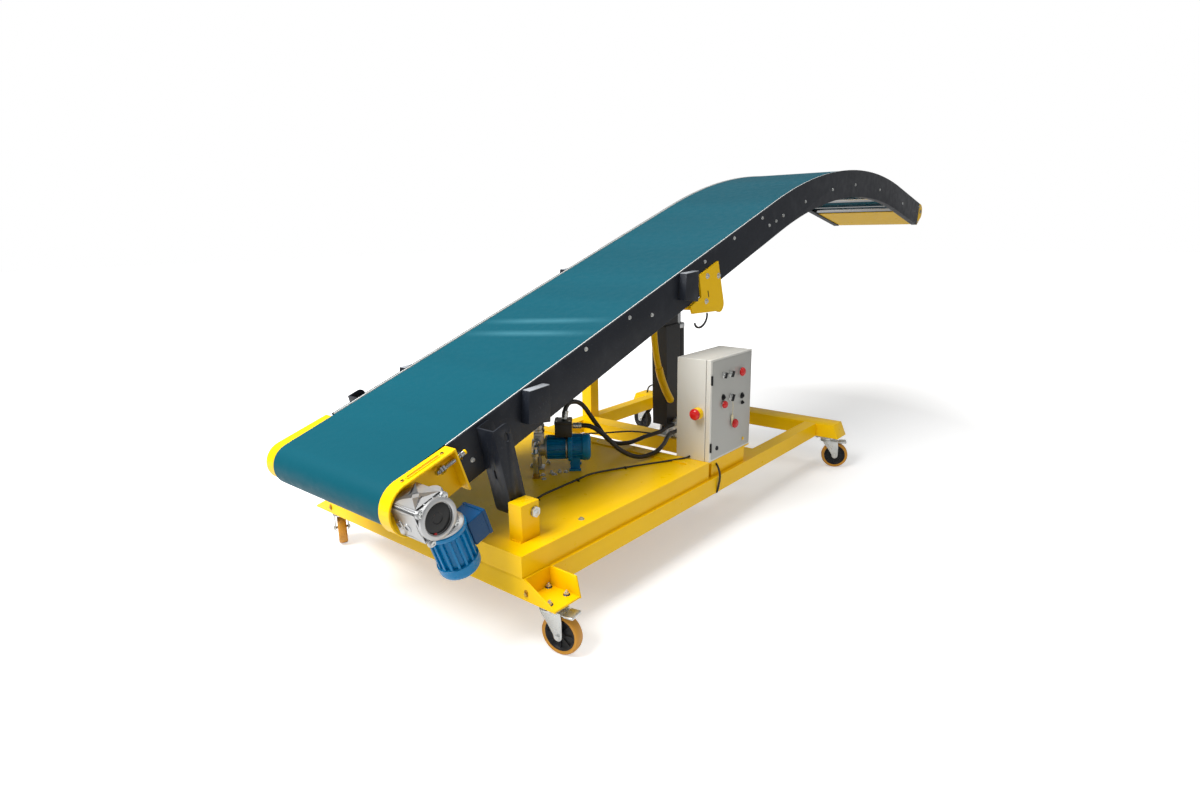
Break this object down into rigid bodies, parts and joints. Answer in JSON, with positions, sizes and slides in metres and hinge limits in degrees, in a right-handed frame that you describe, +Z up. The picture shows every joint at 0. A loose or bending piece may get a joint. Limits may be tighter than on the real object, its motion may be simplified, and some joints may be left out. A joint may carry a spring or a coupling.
{
  "type": "mobile truck loading belt conveyor",
  "caption": "Mobile belt conveyor for loading trucks: arched tilting boom with teal belt and tail drive on a yellow castored base with hydraulic lift and control cabinet.",
  "frame": {"origin": "on the floor under the middle of the object's length and width", "axes": "+X from the tail drum towards the discharge head, +Y towards the side away from the drive and the cabinet, +Z up"},
  "size_m": [4.5401, 1.306, 1.4787],
  "materials": {
    "yellow": "semi_gloss",
    "anthracite": "satin",
    "teal_belt": "matte",
    "motor_blue": "satin",
    "cast_aluminium": "satin",
    "zinc": "satin",
    "roller_steel": "satin",
    "cabinet_paint": "satin",
    "door_paint": "satin",
    "red_plastic": "gloss",
    "black_rubber": "satin",
    "black_paint": "satin",
    "amber_tread": "satin"
  },
  "bodies": {
    "chassis": {"front_crossbeam": "yellow", "rear_crossbeam": "yellow", "near_side_tube": "yellow", "far_side_tube": "yellow", "deck_frame": "yellow", "deck_plate": "yellow", "lift_cross_member": "yellow", "lift_foot": "zinc", "rest_post": "yellow", "pivot_block_near": "yellow", "pivot_block_far": "yellow", "pivot_pin_near": "zinc", "pivot_pin_far": "zinc", "cabinet_stand": "yellow", "cabinet_body": "cabinet_paint", "emergency_stop": "red_plastic", "hydraulic_motor": "motor_blue", "hydraulic_pump": "cast_aluminium", "lift_hose_upper": "black_rubber", "lift_hose_lower": "black_rubber", "castor_plate_front_near": "zinc", "castor_plate_front_far": "zinc", "castor_plate_rear_near": "zinc", "castor_plate_rear_far": "zinc"},
    "boom": {"side_frame_near": "anthracite", "side_frame_far": "anthracite", "slider_bed": "anthracite", "return_rollers": "roller_steel", "conveyor_belt": "teal_belt", "tail_drum": "roller_steel", "head_roller": "roller_steel", "tail_bracket_near": "yellow", "tail_bracket_far": "yellow", "head_guard": "yellow", "pivot_leg_near": "anthracite", "pivot_leg_far": "anthracite", "gearbox": "cast_aluminium", "drive_motor": "motor_blue", "lift_crosshead": "yellow", "boom_conduit": "yellow"},
    "lift_barrel": {"lift_outer_tube": "black_paint", "lift_cylinder": "black_paint"},
    "lift_slide": {"lift_inner_tube": "zinc", "lift_rod": "roller_steel", "lift_head": "black_paint"},
    "door": {"cabinet_door": "door_paint"},
    "swivel_front_near": {"castor_fork_front_near": "zinc"},
    "wheel_front_near": {"castor_core_front_near": "black_paint", "castor_tyre_front_near": "amber_tread"},
    "swivel_front_far": {"castor_fork_front_far": "zinc"},
    "wheel_front_far": {"castor_core_front_far": "black_paint", "castor_tyre_front_far": "amber_tread"},
    "swivel_rear_near": {"castor_fork_rear_near": "zinc"},
    "wheel_rear_near": {"castor_core_rear_near": "black_paint", "castor_tyre_rear_near": "amber_tread"},
    "swivel_rear_far": {"castor_fork_rear_far": "zinc"},
    "wheel_rear_far": {"castor_core_rear_far": "black_paint", "castor_tyre_rear_far": "amber_tread"}
  },
  "joints": [
    {"name": "boom_tilt", "type": "hinge", "parent": "chassis", "child": "boom", "pos_m": [-1.84677, 0, 0.3725], "axis": [0, -1, 0], "range_deg": [-2.5, 8]},
    {"name": "lift_lean", "type": "hinge", "parent": "chassis", "child": "lift_barrel", "pos_m": [-0.55927, -0.03, 0.2693], "axis": [0, -1, 0], "range_deg": [-2.29, 6.24]},
    {"name": "lift_stroke", "type": "slide", "parent": "lift_barrel", "child": "lift_slide", "axis": [-0.0277, 0, 0.9996], "range_m": [-0.05781, 0.1806]},
    {"name": "door_hinge", "type": "hinge", "parent": "chassis", "child": "door", "pos_m": [-0.96427, -0.5013, 0.4936], "axis": [0, 0, -1], "range_deg": [0, 120]},
    {"name": "swivel_front_near", "type": "hinge", "parent": "chassis", "child": "swivel_front_near", "pos_m": [-1.91427, -0.5505, 0.1423], "axis": [0, 0, 1], "continuous": true},
    {"name": "spin_front_near", "type": "hinge", "parent": "swivel_front_near", "child": "wheel_front_near", "pos_m": [-1.90732, -0.58989, 0.0625], "axis": [0.9848, 0.1736, 0], "continuous": true},
    {"name": "swivel_front_far", "type": "hinge", "parent": "chassis", "child": "swivel_front_far", "pos_m": [-1.91427, 0.5505, 0.1423], "axis": [0, 0, 1], "continuous": true},
    {"name": "spin_front_far", "type": "hinge", "parent": "swivel_front_far", "child": "wheel_front_far", "pos_m": [-1.89549, 0.58582, 0.0625], "axis": [-0.8829, 0.4695, 0], "continuous": true},
    {"name": "swivel_rear_near", "type": "hinge", "parent": "chassis", "child": "swivel_rear_near", "pos_m": [0.09173, -0.5505, 0.1423], "axis": [0, 0, 1], "continuous": true},
    {"name": "spin_rear_near", "type": "hinge", "parent": "swivel_rear_near", "child": "wheel_rear_near", "pos_m": [0.10864, -0.58675, 0.0625], "axis": [0.9063, 0.4226, 0], "continuous": true},
    {"name": "swivel_rear_far", "type": "hinge", "parent": "chassis", "child": "swivel_rear_far", "pos_m": [0.09173, 0.5505, 0.1423], "axis": [0, 0, 1], "continuous": true},
    {"name": "spin_rear_far", "type": "hinge", "parent": "swivel_rear_far", "child": "wheel_rear_far", "pos_m": [0.09868, 0.58989, 0.0625], "axis": [-0.9848, 0.1736, 0], "continuous": true}
  ],
  "couplings": [
    {"joint": "lift_lean", "follows": "boom_tilt", "ratio": 0.718},
    {"joint": "lift_stroke", "follows": "boom_tilt", "m_per_rad": 1.2791}
  ]
}
